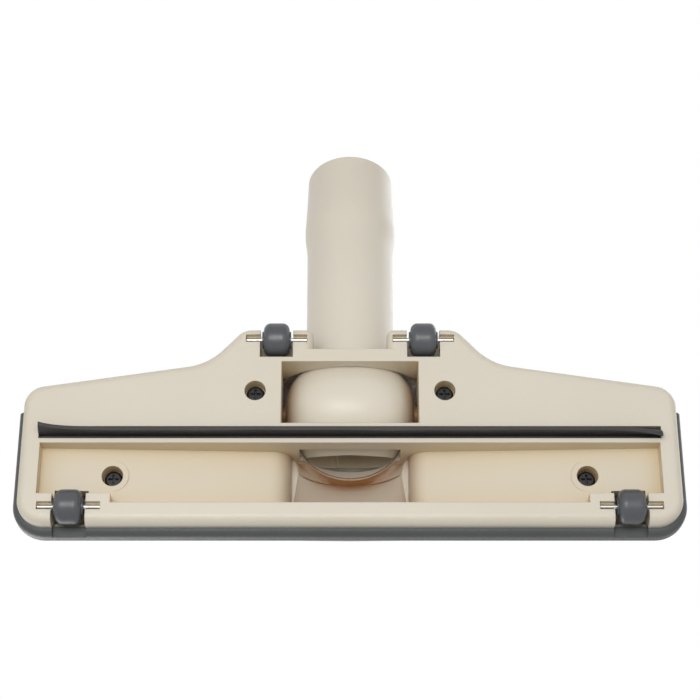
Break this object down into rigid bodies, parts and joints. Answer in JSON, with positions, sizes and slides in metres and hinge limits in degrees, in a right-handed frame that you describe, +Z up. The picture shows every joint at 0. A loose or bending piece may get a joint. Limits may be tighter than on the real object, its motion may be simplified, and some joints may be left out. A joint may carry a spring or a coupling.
{
  "type": "vacuum floor nozzle",
  "caption": "Vacuum cleaner floor nozzle: cream plastic head with a suction channel, rubber blade, dark bumper, rollers and a swivelling neck with a wand socket.",
  "frame": {"origin": "on the floor, midway across the width and midway between the bumper's front and the neck's end", "axes": "+X across the nozzle, +Y from the bumper toward the neck's end, +Z up from the floor, with the sole facing down"},
  "size_m": [0.281, 0.201, 0.0836],
  "materials": {
    "cream_plastic": "fine satin moulding",
    "dark_bumper": "soft matt",
    "black_rubber": "matt",
    "grey_wheel": "smooth satin",
    "bright_steel": "bright drawn pin",
    "dark_screw": "black oxide"
  },
  "bodies": {
    "nozzle": {"lower_housing": "cream_plastic", "upper_housing": "cream_plastic", "bumper": "dark_bumper", "squeegee_blade": "black_rubber", "axle_front_left": "bright_steel", "screw_front_left": "dark_screw", "axle_front_right": "bright_steel", "screw_front_right": "dark_screw", "axle_rear_left": "bright_steel", "screw_rear_left": "dark_screw", "axle_rear_right": "bright_steel", "screw_rear_right": "dark_screw"},
    "neck": {"neck": "cream_plastic"},
    "wheel_front_left": {"wheel_front_left": "grey_wheel"},
    "wheel_front_right": {"wheel_front_right": "grey_wheel"},
    "wheel_rear_left": {"wheel_rear_left": "grey_wheel"},
    "wheel_rear_right": {"wheel_rear_right": "grey_wheel"}
  },
  "joints": [
    {"name": "neck_tilt", "type": "hinge", "parent": "nozzle", "child": "neck", "pos_m": [0, -0.03928, 0.0305], "axis": [1, 0, 0], "range_deg": [-14, 62]},
    {"name": "wheel_front_left_spin", "type": "hinge", "parent": "nozzle", "child": "wheel_front_left", "pos_m": [-0.1161, -0.08958, 0.0073], "axis": [1, 0, 0], "continuous": true},
    {"name": "wheel_front_right_spin", "type": "hinge", "parent": "nozzle", "child": "wheel_front_right", "pos_m": [0.1161, -0.08958, 0.0073], "axis": [1, 0, 0], "continuous": true},
    {"name": "wheel_rear_left_spin", "type": "hinge", "parent": "nozzle", "child": "wheel_rear_left", "pos_m": [-0.0315, -0.01368, 0.0073], "axis": [1, 0, 0], "continuous": true},
    {"name": "wheel_rear_right_spin", "type": "hinge", "parent": "nozzle", "child": "wheel_rear_right", "pos_m": [0.0315, -0.01368, 0.0073], "axis": [1, 0, 0], "continuous": true}
  ]
}
